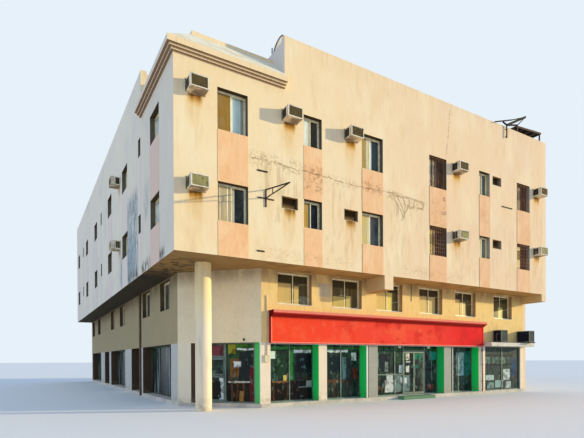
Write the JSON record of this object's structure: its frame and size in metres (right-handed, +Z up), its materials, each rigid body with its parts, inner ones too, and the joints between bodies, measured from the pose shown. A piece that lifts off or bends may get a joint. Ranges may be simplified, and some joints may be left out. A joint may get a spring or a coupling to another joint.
{
  "type": "corner shop building",
  "caption": "Corner building with shops and a mezzanine set back under overhanging storeys of flats, a round corner column and a hipped corner cornice.",
  "frame": {"origin": "centre of the round corner column's foot, on the ground", "axes": "+Z up, +X along the front from the street corner, +Y along the side street"},
  "size_m": [21.3, 32.9433, 15.1445],
  "materials": {
    "plaster": "painted render, stained",
    "shop_plaster": "painted render",
    "party_render": "bare render",
    "floor_concrete": "trowelled",
    "salmon_paint": "painted render",
    "green_paint": "painted",
    "aluminium_frame": "anodised, dusty",
    "window_glass": "film on the glass",
    "shop_glass": "clear over a dark shop",
    "steel": "satin",
    "sign_red": "sun-faded",
    "unit_casing": "weathered",
    "dark_metal": "dull",
    "brown_pipe": "dull"
  },
  "bodies": {
    "building": {"ground_slab": "floor_concrete", "mezzanine_slab": "floor_concrete", "second_floor_slab": "floor_concrete", "roof_slab": "floor_concrete", "corner_column": "plaster", "first_floor_slab": "plaster", "overhang_beams": "plaster", "front_wall_first": "plaster", "front_wall_second": "plaster", "side_wall_first": "plaster", "side_wall_second": "plaster", "rear_walls": "plaster", "corner_roof": "plaster", "front_parapet": "plaster", "side_parapet": "plaster", "rear_parapet": "plaster", "corner_return_wall": "plaster", "front_piers": "shop_plaster", "corner_piers": "shop_plaster", "side_piers": "shop_plaster", "shop_lintels": "shop_plaster", "front_lower_wall": "shop_plaster", "corner_lower_wall": "shop_plaster", "side_lower_wall": "shop_plaster", "condenser_ledge": "shop_plaster", "party_wall": "party_render", "front_panels": "salmon_paint", "side_panels": "salmon_paint", "entrance_step": "green_paint", "upper_window_frames": "aluminium_frame", "mezzanine_window_frames": "aluminium_frame", "front_shop_frames": "aluminium_frame", "corner_shop_frame": "aluminium_frame", "side_shop_frames": "aluminium_frame", "door_transoms": "aluminium_frame", "upper_window_glass": "window_glass", "mezzanine_window_glass": "window_glass", "front_shop_glass": "shop_glass", "corner_shop_glass": "shop_glass", "side_shop_glass": "shop_glass", "door_pivots": "steel", "sign_box": "sign_red", "sign_top": "sign_red", "front_air_conditioners": "unit_casing", "side_air_conditioners": "unit_casing", "condensers": "unit_casing", "roof_canopy": "dark_metal", "roof_dish": "dark_metal", "aerial_mount": "dark_metal", "wall_bracket": "dark_metal", "downpipe": "brown_pipe"},
    "door_left": {"door_left_leaf": "aluminium_frame", "door_left_glass": "shop_glass"},
    "door_right": {"door_right_leaf": "aluminium_frame", "door_right_glass": "shop_glass"},
    "corner_door": {"corner_door_leaf": "aluminium_frame", "corner_door_glass": "shop_glass"}
  },
  "joints": [
    {"name": "door_left_swing", "type": "hinge", "parent": "building", "child": "door_left", "pos_m": [10.209, 0.17, 1.2], "axis": [0, 0, 1], "range_deg": [0, 90]},
    {"name": "door_right_swing", "type": "hinge", "parent": "building", "child": "door_right", "pos_m": [11.551, 0.17, 1.2], "axis": [0, 0, -1], "range_deg": [0, 90]},
    {"name": "corner_door_swing", "type": "hinge", "parent": "building", "child": "corner_door", "pos_m": [0.59095, 1.81574, 1.2], "axis": [0, 0, 1], "range_deg": [0, 90]}
  ]
}
